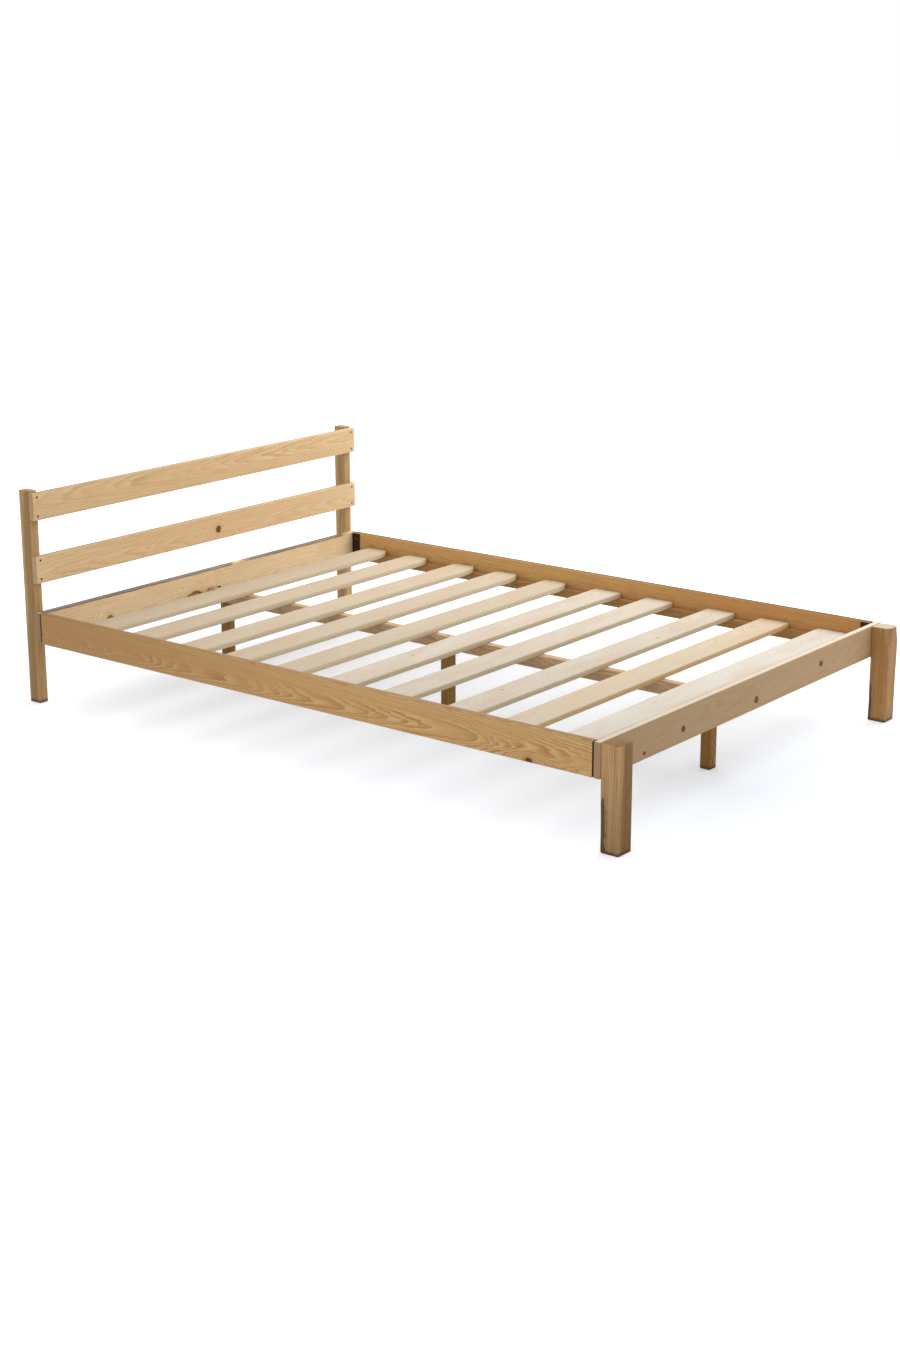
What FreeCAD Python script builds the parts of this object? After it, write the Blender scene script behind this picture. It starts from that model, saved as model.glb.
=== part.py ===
import FreeCAD, Part
import os
import Sketcher

# A double slatted bed in pine, in millimetres. X is the width, Y the length with the head at +Y,
# Z is up, and the origin is on the floor under the middle of the bed. The left half is modelled
# and mirrored. The side rails hang on hook fittings, so the bed comes apart into flat boards.

doc = FreeCAD.newDocument("slatted_bed")
sizes = doc.addObject("Spreadsheet::Sheet", "sizes")
along_x = FreeCAD.Vector(1, 0, 0)
along_y = FreeCAD.Vector(0, 1, 0)
along_z = FreeCAD.Vector(0, 0, 1)
parallel_share = 0.99
edge_tolerance = 0.01
finished = {}


class Size:
    """A length with its present value and the sheet expression that it follows."""

    def __init__(self, text, value):
        self.text = text
        self.value = value

    def combine(self, sign, other, value):
        return Size(f"({self.text} {sign} {other.text})", value)

    def __add__(self, other):
        return self.combine("+", other, self.value + other.value)

    def __sub__(self, other):
        return self.combine("-", other, self.value - other.value)

    def __neg__(self):
        return Size(f"(-{self.text})", -self.value)

    def __mul__(self, factor):
        return Size(f"({self.text} * {factor})", self.value * factor)

    def __truediv__(self, divisor):
        return Size(f"({self.text} / {divisor})", self.value / divisor)


def size(name, value):
    """Write one driving dimension into the next row of the sheet."""
    size.row += 1
    sizes.set(f"A{size.row}", name)
    sizes.set(f"B{size.row}", str(value))
    sizes.setAlias(f"B{size.row}", name)
    return Size(f"sizes.{name}", value)


size.row = 0
zero = Size("0", 0)

# Mattress well
mattress_length = size("mattress_length", 2000)
mattress_width = size("mattress_width", 1400)
well_play = size("well_play", 10)

# Rails
rail_thickness = size("rail_thickness", 20)
rail_height = size("rail_height", 95)
rail_clearance = size("rail_clearance", 190)
rail_ease = size("rail_ease", 2)

# Foot legs and head posts
leg_side = size("leg_side", 58)
post_width = size("post_width", 34)
post_depth = size("post_depth", 45)
post_height = size("post_height", 653)
upright_ease = size("upright_ease", 3)
upright_chamfer = size("upright_chamfer", 2)

# Headboard
headboard_slat_height = size("headboard_slat_height", 83)
headboard_slat_thickness = size("headboard_slat_thickness", 18)
headboard_top_margin = size("headboard_top_margin", 5)
headboard_slat_gap = size("headboard_slat_gap", 108)

# Slats and ledgers
slat_count = 10
round_slat_count = 5
slat_recess = size("slat_recess", 43)
slat_width = size("slat_width", 100)
slat_thickness = size("slat_thickness", 16)
slat_end_play = size("slat_end_play", 3)
slat_end_margin = size("slat_end_margin", 77.5)
slat_round_radius = size("slat_round_radius", 28)
slat_corner_radius = size("slat_corner_radius", 8)
slat_ease = size("slat_ease", 3)
ledger_width = size("ledger_width", 25)
ledger_height = size("ledger_height", 30)
ledger_end_margin = size("ledger_end_margin", 45)
# The slats are laid by hand, so each lies a share of the pitch off its even place, head to foot.
slat_shift_shares = (-0.01, 0.07, 0.03, 0.12, 0.11, 0.10, 0.10, -0.05, -0.02, -0.02)

# Centre beam and its legs
beam_width = size("beam_width", 28)
beam_height = size("beam_height", 40)
beam_end_play = size("beam_end_play", 3)
centre_leg_side = size("centre_leg_side", 34)
centre_leg_foot_inset = size("centre_leg_foot_inset", 115)
centre_leg_head_inset = size("centre_leg_head_inset", 73)

# Steel fittings
steel_thickness = size("steel_thickness", 2.5)
bracket_height = size("bracket_height", 90)
bracket_reach = size("bracket_reach", 32)
plate_corner = size("plate_corner", 2)
hook_neck = size("hook_neck", 9)
hook_drop = size("hook_drop", 6)
hook_seat = size("hook_seat", 20)
hook_spacing = size("hook_spacing", 40)
hook_play = size("hook_play", 0.3)
slot_play = size("slot_play", 0.5)
slot_headroom = size("slot_headroom", 2)
pocket_play = size("pocket_play", 1)
beam_angle_reach = size("beam_angle_reach", 30)
beam_angle_height = size("beam_angle_height", 30)

# Screws
screw_sides = 10
screw_head = size("screw_head", 8)
screw_head_height = size("screw_head_height", 1.6)
screw_shank = size("screw_shank", 4)
screw_play = size("screw_play", 0.15)
short_screw = size("short_screw", 16)
ledger_screw = size("ledger_screw", 38)
headboard_screw = size("headboard_screw", 40)
rail_screw = size("rail_screw", 50)
centre_leg_screw = size("centre_leg_screw", 80)
keeper_screw_inset = size("keeper_screw_inset", 6.5)
bracket_screw_inset = size("bracket_screw_inset", 20)
headboard_screw_inset = size("headboard_screw_inset", 13)
foot_rail_screw_inset = size("foot_rail_screw_inset", 25)
leg_screw_inset = size("leg_screw_inset", 16)
ledger_screw_inset = size("ledger_screw_inset", 130)
ledger_screw_count = 4
overrun = size("overrun", 5)

# Main planes
well_length = mattress_length + well_play
half_well = (mattress_width + well_play) / 2
half_width = half_well + rail_thickness
half_length = (well_length + rail_thickness * 2 + leg_side + post_depth) / 2
foot_rail_outer = leg_side - half_length
well_foot = foot_rail_outer + rail_thickness
well_head = well_foot + well_length
well_middle = (well_foot + well_head) / 2
head_rail_outer = well_head + rail_thickness
rail_top = rail_clearance + rail_height
slat_top = rail_top - slat_recess
deck = slat_top - slat_thickness
beam_bottom = deck - beam_height
rail_end = well_foot + steel_thickness * 2
fitting_foot = rail_clearance + (rail_height - bracket_height) / 2
fitting_centre = rail_thickness / 2 - half_width


def place(thing, x, y, z):
    """Tie an object's place to the sheet."""
    for axis, position in zip("xyz", (x, y, z)):
        thing.setExpression(f"Placement.Base.{axis}", position.text)


def origin_feature(owner, role):
    return next(item for item in owner.Origin.OriginFeatures if item.Role == role)


def outline(owner, role, points):
    """A closed sketch of straight lines, with every corner placed by its two sizes."""
    sketch = owner.newObject("Sketcher::SketchObject", owner.Name + "_outline")
    sketch.AttachmentSupport = [(origin_feature(owner, role), "")]
    sketch.MapMode = "FlatFace"
    corners = [FreeCAD.Vector(x.value, y.value, 0) for x, y in points]
    for start, end in zip(corners, corners[1:] + corners[:1]):
        sketch.addGeometry(Part.LineSegment(start, end), False)
    for line in range(len(points)):
        following = (line + 1) % len(points)
        sketch.addConstraint(Sketcher.Constraint("Coincident", line, 2, following, 1))
    for line, corner in enumerate(points):
        for kind, position in zip(("DistanceX", "DistanceY"), corner):
            rule = Sketcher.Constraint(kind, -1, 1, line, 1, position.value)
            number = sketch.addConstraint(rule)
            sketch.setExpression(f"Constraints[{number}]", position.text)
    return sketch


def pad(owner, sketch, depth):
    made = owner.newObject("PartDesign::Pad", owner.Name + "_pad")
    made.Profile = sketch
    made.setExpression("Length", depth.text)
    return made


def dress(owner, kind, amount, wanted):
    """Fillet or chamfer the edges of the body's last feature that pass the wanted test."""
    doc.recompute()
    base = owner.Tip
    numbered = enumerate(base.Shape.Edges, 1)
    names = [f"Edge{number}" for number, edge in numbered if wanted(edge)]
    made = owner.newObject(f"PartDesign::{kind}", f"{owner.Name}_{kind.lower()}")
    made.Base = (base, names)
    made.setExpression("Radius" if kind == "Fillet" else "Size", amount.text)


def runs_along(axis):
    """A test for straight edges that run along an axis."""
    def test(edge):
        straight = isinstance(edge.Curve, (Part.Line, Part.LineSegment))
        return straight and abs(edge.Curve.Direction.dot(axis)) > parallel_share
    return test


def lies_at(height):
    """A test for edges that lie in one level plane of their body."""
    def test(edge):
        ends = (edge.BoundBox.ZMin, edge.BoundBox.ZMax)
        return max(abs(end - height.value) for end in ends) < edge_tolerance
    return test


def stands_at(x, y):
    """A test for the upright edge over one point of a body's plan."""
    def test(edge):
        middle = edge.CenterOfMass
        off = max(abs(middle.x - x.value), abs(middle.y - y.value))
        return runs_along(along_z)(edge) and off < edge_tolerance
    return test


def profile_body(label, points, height):
    """A body with an outline in plan, raised to a height."""
    made = doc.addObject("PartDesign::Body", label)
    pad(made, outline(made, "XY_Plane", points), height)
    return made


def rectangle(width, depth):
    return [(zero, zero), (width, zero), (width, depth), (zero, depth)]


def block(label, low, high):
    """A square-edged body between two corners."""
    span = [top - bottom for bottom, top in zip(low, high)]
    made = profile_body(label, rectangle(span[0], span[1]), span[2])
    place(made, *low)
    return made


def board(label, low, high, grain):
    """A planed board with its long edges eased."""
    made = block(label, low, high)
    dress(made, "Chamfer", rail_ease, runs_along(grain))
    return made


def upright(label, low, high):
    """A leg or post with eased corners and a small chamfer round its top and its foot."""
    made = block(label, low, high)
    dress(made, "Chamfer", upright_ease, runs_along(along_z))
    for level in (zero, high[2] - low[2]):
        dress(made, "Chamfer", upright_chamfer, lies_at(level))
    return made


def box(label, low, high):
    """A plain box tool between two corners."""
    made = doc.addObject("Part::Box", label)
    for side, bottom, top in zip(("Length", "Width", "Height"), low, high):
        made.setExpression(side, (top - bottom).text)
    place(made, *low)
    return made


def gather(label, members):
    made = doc.addObject("Part::Compound", label)
    made.Links = members
    return made


def mirror(label, source, normal, through=zero):
    """A mirrored copy across X = 0, or across a plane of constant Y."""
    made = doc.addObject("Part::Mirroring", label)
    made.Source = source
    made.Normal = normal
    made.setExpression("Base.y", through.text)
    return made


def cut(label, base, tools):
    made = doc.addObject("Part::Cut", label)
    made.Base = base
    made.Tool = gather(label + "_tools", tools)
    return made


def keep(label, thing):
    """Name a finished sub-part."""
    thing.Label = label
    finished[label] = thing
    return thing


def prism(label, radius, height):
    """A round bar, drawn with a few flat sides to keep the many screws light."""
    made = doc.addObject("Part::Prism", label)
    made.Polygon = screw_sides
    made.setExpression("Circumradius", radius.text)
    made.setExpression("Height", height.text)
    return made


def screw(label, at, direction, length, play):
    """A screw with its head sunk flush, or with play the stepped hole that it sits in."""
    made = doc.addObject("Part::Fuse", label)
    made.Base = prism(label + "_head", screw_head / 2 + play, screw_head_height)
    made.Tool = prism(label + "_shank", screw_shank / 2 + play, length + play)
    made.Placement.Rotation = FreeCAD.Rotation(along_z, direction)
    place(made, *at)
    return made


def screws(label, places, direction, length):
    """A group of like screws and the group of holes for them."""
    groups = []
    for name, play in ((label, zero), (label + "_hole", screw_play)):
        members = []
        for number, at in enumerate(places):
            members.append(screw(f"{name}_{number}", at, direction, length, play))
        groups.append(gather(name + "_group", members))
    return groups


def both_sides(label, source):
    return [source, mirror(label + "_right", source, along_x)]


def both_ends(label, source):
    return [source, mirror(label + "_head", source, along_y, well_middle)]


def four_corners(label, source):
    corners = []
    for number, end in enumerate(both_ends(label, source)):
        corners += both_sides(f"{label}_{number}", end)
    return corners


# Keeper screws go through the keeper plate and the cross rail into the leg or post.
keeper_face = well_foot + steel_thickness
keeper_heights = (
    fitting_foot + keeper_screw_inset,
    fitting_foot + bracket_height - keeper_screw_inset,
)
keeper_spots = [(fitting_centre, keeper_face, height) for height in keeper_heights]
keeper_screw, keeper_hole = screws("keeper_screw", keeper_spots, -along_y, rail_screw)
keeper_holes = four_corners("keeper_holes", keeper_hole)
keep("keeper_screws", gather("keeper_screws", four_corners("keeper_screws", keeper_screw)))

# Hook pockets in the cross rails and hook slots in the keepers, one over the other
slot_height = hook_neck + hook_drop + slot_headroom
slot_low = fitting_centre - steel_thickness / 2 - slot_play
slot_high = fitting_centre + steel_thickness / 2 + slot_play
pocket_depth = hook_play + steel_thickness + pocket_play
slots = []
pockets = []
for number in range(2):
    seat = fitting_foot + hook_seat + hook_spacing * number
    slot_start = (slot_low, well_foot - overrun, seat)
    slot_end = (slot_high, keeper_face + overrun, seat + slot_height)
    slots.append(box(f"slot_{number}", slot_start, slot_end))
    pocket_start = (slot_low, well_foot - pocket_depth, seat - hook_drop - pocket_play)
    pocket_end = (slot_high, well_foot + overrun, seat + slot_height)
    pockets.append(box(f"pocket_{number}", pocket_start, pocket_end))
hook_pockets = four_corners("hook_pockets", gather("hook_pocket", pockets))

# Keeper plate, with clipped corners
keeper_low = (-half_width, well_foot, fitting_foot)
keeper_high = (-half_well, keeper_face, fitting_foot + bracket_height)
keeper_blank = block("keeper_blank", keeper_low, keeper_high)
dress(keeper_blank, "Chamfer", plate_corner, runs_along(along_y))
keeper = cut("keeper", keeper_blank, slots + [keeper_hole])

# Hook bracket: a folded angle round the rail's end, with two hooks that drop behind the keeper
bracket_profile = [
    (zero, zero),
    (rail_thickness + steel_thickness, zero),
    (rail_thickness + steel_thickness, bracket_reach),
    (rail_thickness, bracket_reach),
    (rail_thickness, steel_thickness),
    (zero, steel_thickness),
]
bracket_blank = profile_body("bracket_blank", bracket_profile, bracket_height)
place(bracket_blank, -half_width, keeper_face, fitting_foot)
dress(bracket_blank, "Fillet", steel_thickness, stands_at(rail_thickness + steel_thickness, zero))
hook_inner = -(steel_thickness + hook_play)
hook_back = hook_inner - steel_thickness
hook_tip = hook_seat - hook_drop
hook_lead = steel_thickness / 2
hook_profile = [
    (steel_thickness, hook_seat),
    (hook_inner, hook_seat),
    (hook_inner, hook_tip + hook_lead),
    (hook_inner - hook_lead, hook_tip),
    (hook_back, hook_tip),
    (hook_back, hook_seat + hook_neck),
    (steel_thickness, hook_seat + hook_neck),
]
hook_sketch = outline(bracket_blank, "YZ_Plane", hook_profile)
hook_sketch.setExpression("AttachmentOffset.Base.z", (rail_thickness / 2 - steel_thickness / 2).text)
hook = pad(bracket_blank, hook_sketch, steel_thickness)
doc.recompute()
hooks = bracket_blank.newObject("PartDesign::LinearPattern", "hooks")
hooks.Originals = [hook]
hooks.Direction = (origin_feature(bracket_blank, "Z_Axis"), [""])
hooks.setExpression("Length", hook_spacing.text)
hooks.Occurrences = 2
bracket_blank.Tip = hooks
bracket_face = steel_thickness - half_well
bracket_middle = keeper_face + (steel_thickness + bracket_reach) / 2
bracket_heights = (
    fitting_foot + bracket_screw_inset,
    fitting_foot + bracket_height - bracket_screw_inset,
)
bracket_spots = [(bracket_face, bracket_middle, height) for height in bracket_heights]
bracket_screw, bracket_hole = screws("bracket_screw", bracket_spots, -along_x, short_screw)
keep("bracket_screws", gather("bracket_screws", four_corners("bracket_screws", bracket_screw)))
bracket = cut("bracket", bracket_blank, [bracket_hole])
corner_names = ("foot_left", "foot_right", "head_left", "head_right")
for corner, plate in zip(corner_names, four_corners("keepers", keeper)):
    keep(f"keeper_plate_{corner}", plate)
for corner, angle in zip(corner_names, four_corners("brackets", bracket)):
    keep(f"hook_bracket_{corner}", angle)

# Foot legs, and the screws from the foot rail's inner face into them
leg_spots = []
for height in (rail_clearance + foot_rail_screw_inset, rail_top - foot_rail_screw_inset):
    leg_spots.append((leg_side - leg_screw_inset - half_width, well_foot, height))
leg_screw, leg_hole = screws("leg_screw", leg_spots, -along_y, rail_screw)
leg_holes = both_sides("leg_holes", leg_hole)
keep("foot_rail_screws", gather("foot_rail_screws", both_sides("foot_rail_screws", leg_screw)))
leg_low = (-half_width, -half_length, zero)
leg_high = (leg_side - half_width, foot_rail_outer, rail_top)
leg = cut("leg", upright("leg_blank", leg_low, leg_high), [keeper_hole, leg_hole])
for side, thing in zip(("left", "right"), both_sides("legs", leg)):
    keep(f"foot_leg_{side}", thing)

# Headboard screws, two at each end of each slat, into the posts
upper_top = post_height - headboard_top_margin
upper_bottom = upper_top - headboard_slat_height
lower_top = upper_bottom - headboard_slat_gap
lower_bottom = lower_top - headboard_slat_height
headboard_face = head_rail_outer - headboard_slat_thickness
headboard_spots = []
for bottom, top in ((upper_bottom, upper_top), (lower_bottom, lower_top)):
    for height in (bottom + headboard_screw_inset, top - headboard_screw_inset):
        headboard_spots.append((post_width / 2 - half_width, headboard_face, height))
headboard_fixing, headboard_hole = screws("headboard_screw", headboard_spots, along_y, headboard_screw)
headboard_holes = both_sides("headboard_holes", headboard_hole)
keep("headboard_screws", gather("headboard_screws", both_sides("headboard_screws", headboard_fixing)))

# Head posts and headboard slats
post_low = (-half_width, head_rail_outer, zero)
post_high = (post_width - half_width, half_length, post_height)
post_tools = [keeper_holes[2], headboard_hole]
post = cut("post", upright("post_blank", post_low, post_high), post_tools)
for side, thing in zip(("left", "right"), both_sides("posts", post)):
    keep(f"head_post_{side}", thing)
for level, bottom, top in (("upper", upper_bottom, upper_top), ("lower", lower_bottom, lower_top)):
    slat_low = (-half_width, headboard_face, bottom)
    slat_high = (half_width, head_rail_outer, top)
    blank = board(f"headboard_{level}_blank", slat_low, slat_high, along_x)
    keep(f"headboard_slat_{level}", cut(f"headboard_{level}", blank, headboard_holes))

# Beam angles tie the centre beam's ends to the cross rails, on the beam's right-hand side.
beam_face = beam_width / 2
angle_profile = [
    (zero, zero),
    (beam_angle_reach, zero),
    (beam_angle_reach, steel_thickness),
    (steel_thickness, steel_thickness),
    (steel_thickness, beam_angle_reach),
    (zero, beam_angle_reach),
]
angle_foot = deck - beam_height / 2 - beam_angle_height / 2
angle_blank = profile_body("angle_blank", angle_profile, beam_angle_height)
place(angle_blank, beam_face, well_foot, angle_foot)
dress(angle_blank, "Fillet", steel_thickness, stands_at(zero, zero))
angle_height = angle_foot + beam_angle_height / 2
angle_middle = (steel_thickness + beam_angle_reach) / 2
beam_spot = (beam_face + steel_thickness, well_foot + angle_middle, angle_height)
rail_spot = (beam_face + angle_middle, well_foot + steel_thickness, angle_height)
beam_screw, beam_hole = screws("beam_screw", [beam_spot], -along_x, short_screw)
cross_screw, cross_hole = screws("cross_screw", [rail_spot], -along_y, short_screw)
angle_screw = gather("angle_screw", [beam_screw, cross_screw])
keep("beam_angle_screws", gather("beam_angle_screws", both_ends("angle_screws", angle_screw)))
beam_holes = both_ends("beam_holes", beam_hole)
cross_holes = both_ends("cross_holes", cross_hole)
angle = cut("angle", angle_blank, [beam_hole, cross_hole])
for end, thing in zip(("foot", "head"), both_ends("angles", angle)):
    keep(f"beam_angle_{end}", thing)

# Centre beam on three legs, each held by one long screw from the beam's top
leg_foot_place = well_foot + centre_leg_foot_inset
leg_head_place = well_head - centre_leg_head_inset
centre_places = {
    "foot": leg_foot_place,
    "middle": (leg_foot_place + leg_head_place) / 2,
    "head": leg_head_place,
}
centre_spots = [(zero, middle, deck) for middle in centre_places.values()]
centre_screw, centre_hole = screws("centre_screw", centre_spots, -along_z, centre_leg_screw)
keep("centre_leg_screws", centre_screw)
beam_low = (-beam_face, well_foot + beam_end_play, beam_bottom)
beam_high = (beam_face, well_head - beam_end_play, deck)
beam_blank = board("beam_blank", beam_low, beam_high, along_y)
keep("centre_beam", cut("beam", beam_blank, [centre_hole] + beam_holes))
centre_half = centre_leg_side / 2
for name, middle in centre_places.items():
    centre_low = (-centre_half, middle - centre_half, zero)
    centre_high = (centre_half, middle + centre_half, beam_bottom)
    blank = upright(f"centre_{name}_blank", centre_low, centre_high)
    keep(f"centre_leg_{name}", cut(f"centre_{name}", blank, [centre_hole]))

# Cross rails at the foot and the head
cross_rails = (
    ("foot_rail", foot_rail_outer, keeper_holes[:2] + hook_pockets[:2] + leg_holes + cross_holes[:1]),
    ("head_rail", well_head, keeper_holes[2:] + hook_pockets[2:] + cross_holes[1:]),
)
for name, near, tools in cross_rails:
    low = (-half_width, near, rail_clearance)
    high = (half_width, near + rail_thickness, rail_top)
    keep(name, cut(name, board(name + "_blank", low, high, along_x), tools))

# Side rails with their ledgers
ledger_start = well_foot + ledger_end_margin
ledger_end = well_head - ledger_end_margin
ledger_step = (ledger_end - ledger_start - ledger_screw_inset * 2) / (ledger_screw_count - 1)
ledger_spots = []
for number in range(ledger_screw_count):
    spot = ledger_start + ledger_screw_inset + ledger_step * number
    ledger_spots.append((ledger_width - half_well, spot, deck - ledger_height / 2))
ledger_fixing, ledger_hole = screws("ledger_screw", ledger_spots, -along_x, ledger_screw)
keep("ledger_screws", gather("ledger_screws", both_sides("ledger_screws", ledger_fixing)))
rail_low = (-half_width, rail_end, rail_clearance)
rail_high = (-half_well, well_head + well_foot - rail_end, rail_top)
rail_blank = board("side_rail_blank", rail_low, rail_high, along_y)
side_rail = cut("side_rail", rail_blank, both_ends("bracket_holes", bracket_hole) + [ledger_hole])
ledger_low = (-half_well, ledger_start, deck - ledger_height)
ledger_high = (ledger_width - half_well, ledger_end, deck)
ledger = cut("ledger", board("ledger_blank", ledger_low, ledger_high, along_y), [ledger_hole])
for name, part in (("side_rail", side_rail), ("slat_ledger", ledger)):
    for side, thing in zip(("left", "right"), both_sides(name + "s", part)):
        keep(f"{name}_{side}", thing)

# Bed slats, numbered from the head: the first ones have well rounded ends, the rest eased corners.
slat_pitch = (well_length - slat_end_margin * 2 - slat_width) / (slat_count - 1)
slat_half_length = half_well - slat_end_play
for number, shift_share in enumerate(slat_shift_shares):
    steps = slat_count - 1 - number + shift_share
    near = well_foot + slat_end_margin + slat_pitch * steps
    name = f"bed_slat_{number + 1:02d}"
    slat = block(name, (-slat_half_length, near, deck), (slat_half_length, near + slat_width, slat_top))
    radius = slat_round_radius if number < round_slat_count else slat_corner_radius
    dress(slat, "Fillet", radius, runs_along(along_z))
    dress(slat, "Chamfer", slat_ease, lies_at(slat_thickness))
    keep(name, slat)

doc.recompute()
for thing in doc.Objects:
    if "Invalid" in thing.State or "Error" in thing.State:
        raise RuntimeError(f"{thing.Label} did not build")
for label, thing in finished.items():
    if thing.Shape.isNull() or not thing.Shape.isValid():
        raise RuntimeError(f"{label} has no valid shape")
os.makedirs("parts", exist_ok=True)
for label, thing in finished.items():
    thing.Shape.exportStep(f"parts/{label}.step")
print(len(finished), "sub-parts written")
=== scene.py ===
import bpy
import math
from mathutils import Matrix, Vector


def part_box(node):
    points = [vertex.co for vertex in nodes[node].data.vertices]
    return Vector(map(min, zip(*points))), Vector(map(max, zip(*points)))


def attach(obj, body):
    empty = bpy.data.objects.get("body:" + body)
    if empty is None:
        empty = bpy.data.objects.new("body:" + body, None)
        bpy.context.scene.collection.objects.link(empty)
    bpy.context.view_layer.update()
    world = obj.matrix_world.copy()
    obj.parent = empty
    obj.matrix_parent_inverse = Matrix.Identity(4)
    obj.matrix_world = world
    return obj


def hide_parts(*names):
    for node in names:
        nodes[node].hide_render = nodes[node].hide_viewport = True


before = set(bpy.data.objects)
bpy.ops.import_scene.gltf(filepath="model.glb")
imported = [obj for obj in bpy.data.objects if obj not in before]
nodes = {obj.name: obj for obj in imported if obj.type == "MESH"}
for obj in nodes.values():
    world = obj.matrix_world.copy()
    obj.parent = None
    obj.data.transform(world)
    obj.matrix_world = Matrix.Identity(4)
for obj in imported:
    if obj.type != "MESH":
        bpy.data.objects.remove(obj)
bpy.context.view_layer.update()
mm = 0.001
print("frame loaded with", len(nodes), "nodes")


# colour: sRGB hex to the linear values that the shader sockets take
def linearColour(hexText):
    channels = [int(hexText[i:i + 2], 16) / 255 for i in (1, 3, 5)]
    curve = [c / 12.92 if c <= 0.04045 else ((c + 0.055) / 1.055) ** 2.4 for c in channels]
    return (*curve, 1.0)


# one node with its settings; an input that is a socket is linked, anything else is set
def addNode(tree, kind, inputs=None, **settings):
    node = tree.nodes.new(kind)
    for name, value in settings.items():
        setattr(node, name, value)
    for name, value in (inputs or {}).items():
        if isinstance(value, bpy.types.NodeSocket):
            tree.links.new(value, node.inputs[name])
        else:
            node.inputs[name].default_value = value
    return node


def newMaterial(name):
    material = bpy.data.materials.new(name)
    material.use_nodes = True
    tree = material.node_tree
    return material, tree, tree.nodes["Principled BSDF"]


# Oiled pine: the planed board is cut from a trunk of rings, so the rings show as long lines and arches
# on its faces and as arcs on its ends. Places are in metres, other sizes in millimetres. Each board gives
# its own pale early wood, dark late wood at each ring's outer edge, tint for its slow change of tone,
# pithMm for the trunk's middle across and through it, slope for how fast the cut runs out of the rings,
# and seed. The rest is as here, where the board doesn't say otherwise.
pineBase = {
    "axes": "YZX",            # along the grain, across the board's wide face, through it
    "cornerMm": 0.8,          # worn corners
    "spring": "",             # palest wood, where each ring starts; as the early wood if not given
    "tintShare": 0.5,
    "toneMm": 48,
    "endGrain": "#8d6238",    # sawn ends drink more oil
    "endShare": 0.5,
    "edge": "#8d6238",        # tone of the narrow edges: painted shade or a painted highlight for how the light falls on them on several boards, on the slats partly their own tan
    "edgeToneLightShadeShare": 0.0,
    "heart": "#75522c",       # darker wood round the trunk's middle
    "heartMm": 0.0,
    "heartShare": 0.7,
    "blush": "#cba78a",       # rosy or yellow patches of the plank
    "blushShare": 0.0,
    "blushMm": 60,
    "endToneAndShade": "#a4723a",        # one end darker: painted shade on some boards, their own tone on others; endToneAndShadeSpan says where it is full and where it stops
    "endToneAndShadeShare": 0.0,
    "floorEndTone": "#4f3b22",        # darker at the end that stands on the floor
    "floorEndMm": 0.0,
    "floorEndShare": 0.75,
    "ringMm": 2.3,            # ring width
    "swayMm": 20,             # how far the trunk bends, and over what length
    "swayLengthMm": 340,
    "featherMm": 1.3,         # small zigzags of the lines
    "lineShare": (0.3, 1.0),  # how far the lines fade, and how strong they get
    "fibreShare": 0.12,       # light and dark of the fibres
    "fleckShare": 0.22,       # short dark resin lines
    "roughness": 0.55,
    "gloss": 0.2,             # thin oil: hardly any film on the wood
    "knots": (),              # place along and across, radius in mm, how far it is drawn out along the grain
    "knotHeart": "#6d4526",
    "knotRim": "#3f2412",
    "waneColour": "",         # bark skin, on boards that keep some
}

# the same in every board: the patterns' sizes, how much slower they change along the grain than across it,
# and the part of a noise's range that is used
grain = {
    "fibreMm": 2.2,           # drawn coarser than real fibres, so that they show
    "fibreStretch": 0.02,
    "fibreRange": (0.3, 0.7),
    "waveMm": 30,             # slow waves of the rings
    "waveDepthMm": 7,
    "waveStretch": 0.03,
    "zigzagMm": 7,
    "zigzagStretch": 0.3,
    "seedStep": 7.3,          # keeps the boards' bends apart
    "yearStep": 0.37,         # ring widths drift over a few years
    "yearChange": 1.6,
    "earlyAt": 0.4,           # shares of a ring: early wood here, darkest there
    "darkestAt": 0.84,
    "patchMm": 55,            # patches in which the lines fade
    "patchRange": (0.35, 0.65),
    "toneRange": (0.35, 0.7),
    "blushRange": (0.42, 0.66),
    "fleckMm": 1.1,           # drawn coarser than real resin lines, so that they show
    "fleckRange": (0.62, 0.75),
    "heartFade": 0.65,        # the heart fades from this share of its radius
    "floorEndFade": 0.8,
    "cutTurn": (0.75, 0.92),  # a face turned this far along an axis is an edge or an end
    "roughnessChange": 0.07,
    "bumpStrength": 0.25,
    "bumpMm": 0.3,
}

# knots, in shares of the knot's own radius
knotShape = {
    "bulge": 1.3,             # how far the rings are pushed out, and how far round the knot
    "bulgeReach": 4.0,
    "bulgeStretch": 2.5,      # further along the grain than across it
    "halo": (0.8, 2.4),       # soft amber edge
    "haloShare": 0.55,
    "ragged": 1.1,            # unevenness of the outline, in size and depth
    "raggedMiddle": 0.55,
    "outline": (0.82, 1.1),
    "outlineShare": 0.95,
    "rim": (0.35, 0.9),       # dark rim, broken in places
    "rimRange": (0.35, 0.6),
    "rimLeast": 0.25,
}

# bark skin on a waney edge
barkSkin = {
    "ragged": 1.6,            # how far the skin's border wanders
    "border": (1.0, 1.4),
    "fullAt": 0.3,            # wane at which the skin is full
    "share": 0.9,
    "patches": (0.7, 1.3),    # darkest and lightest patch, then streak
    "streaks": (0.6, 1.5),
}


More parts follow.
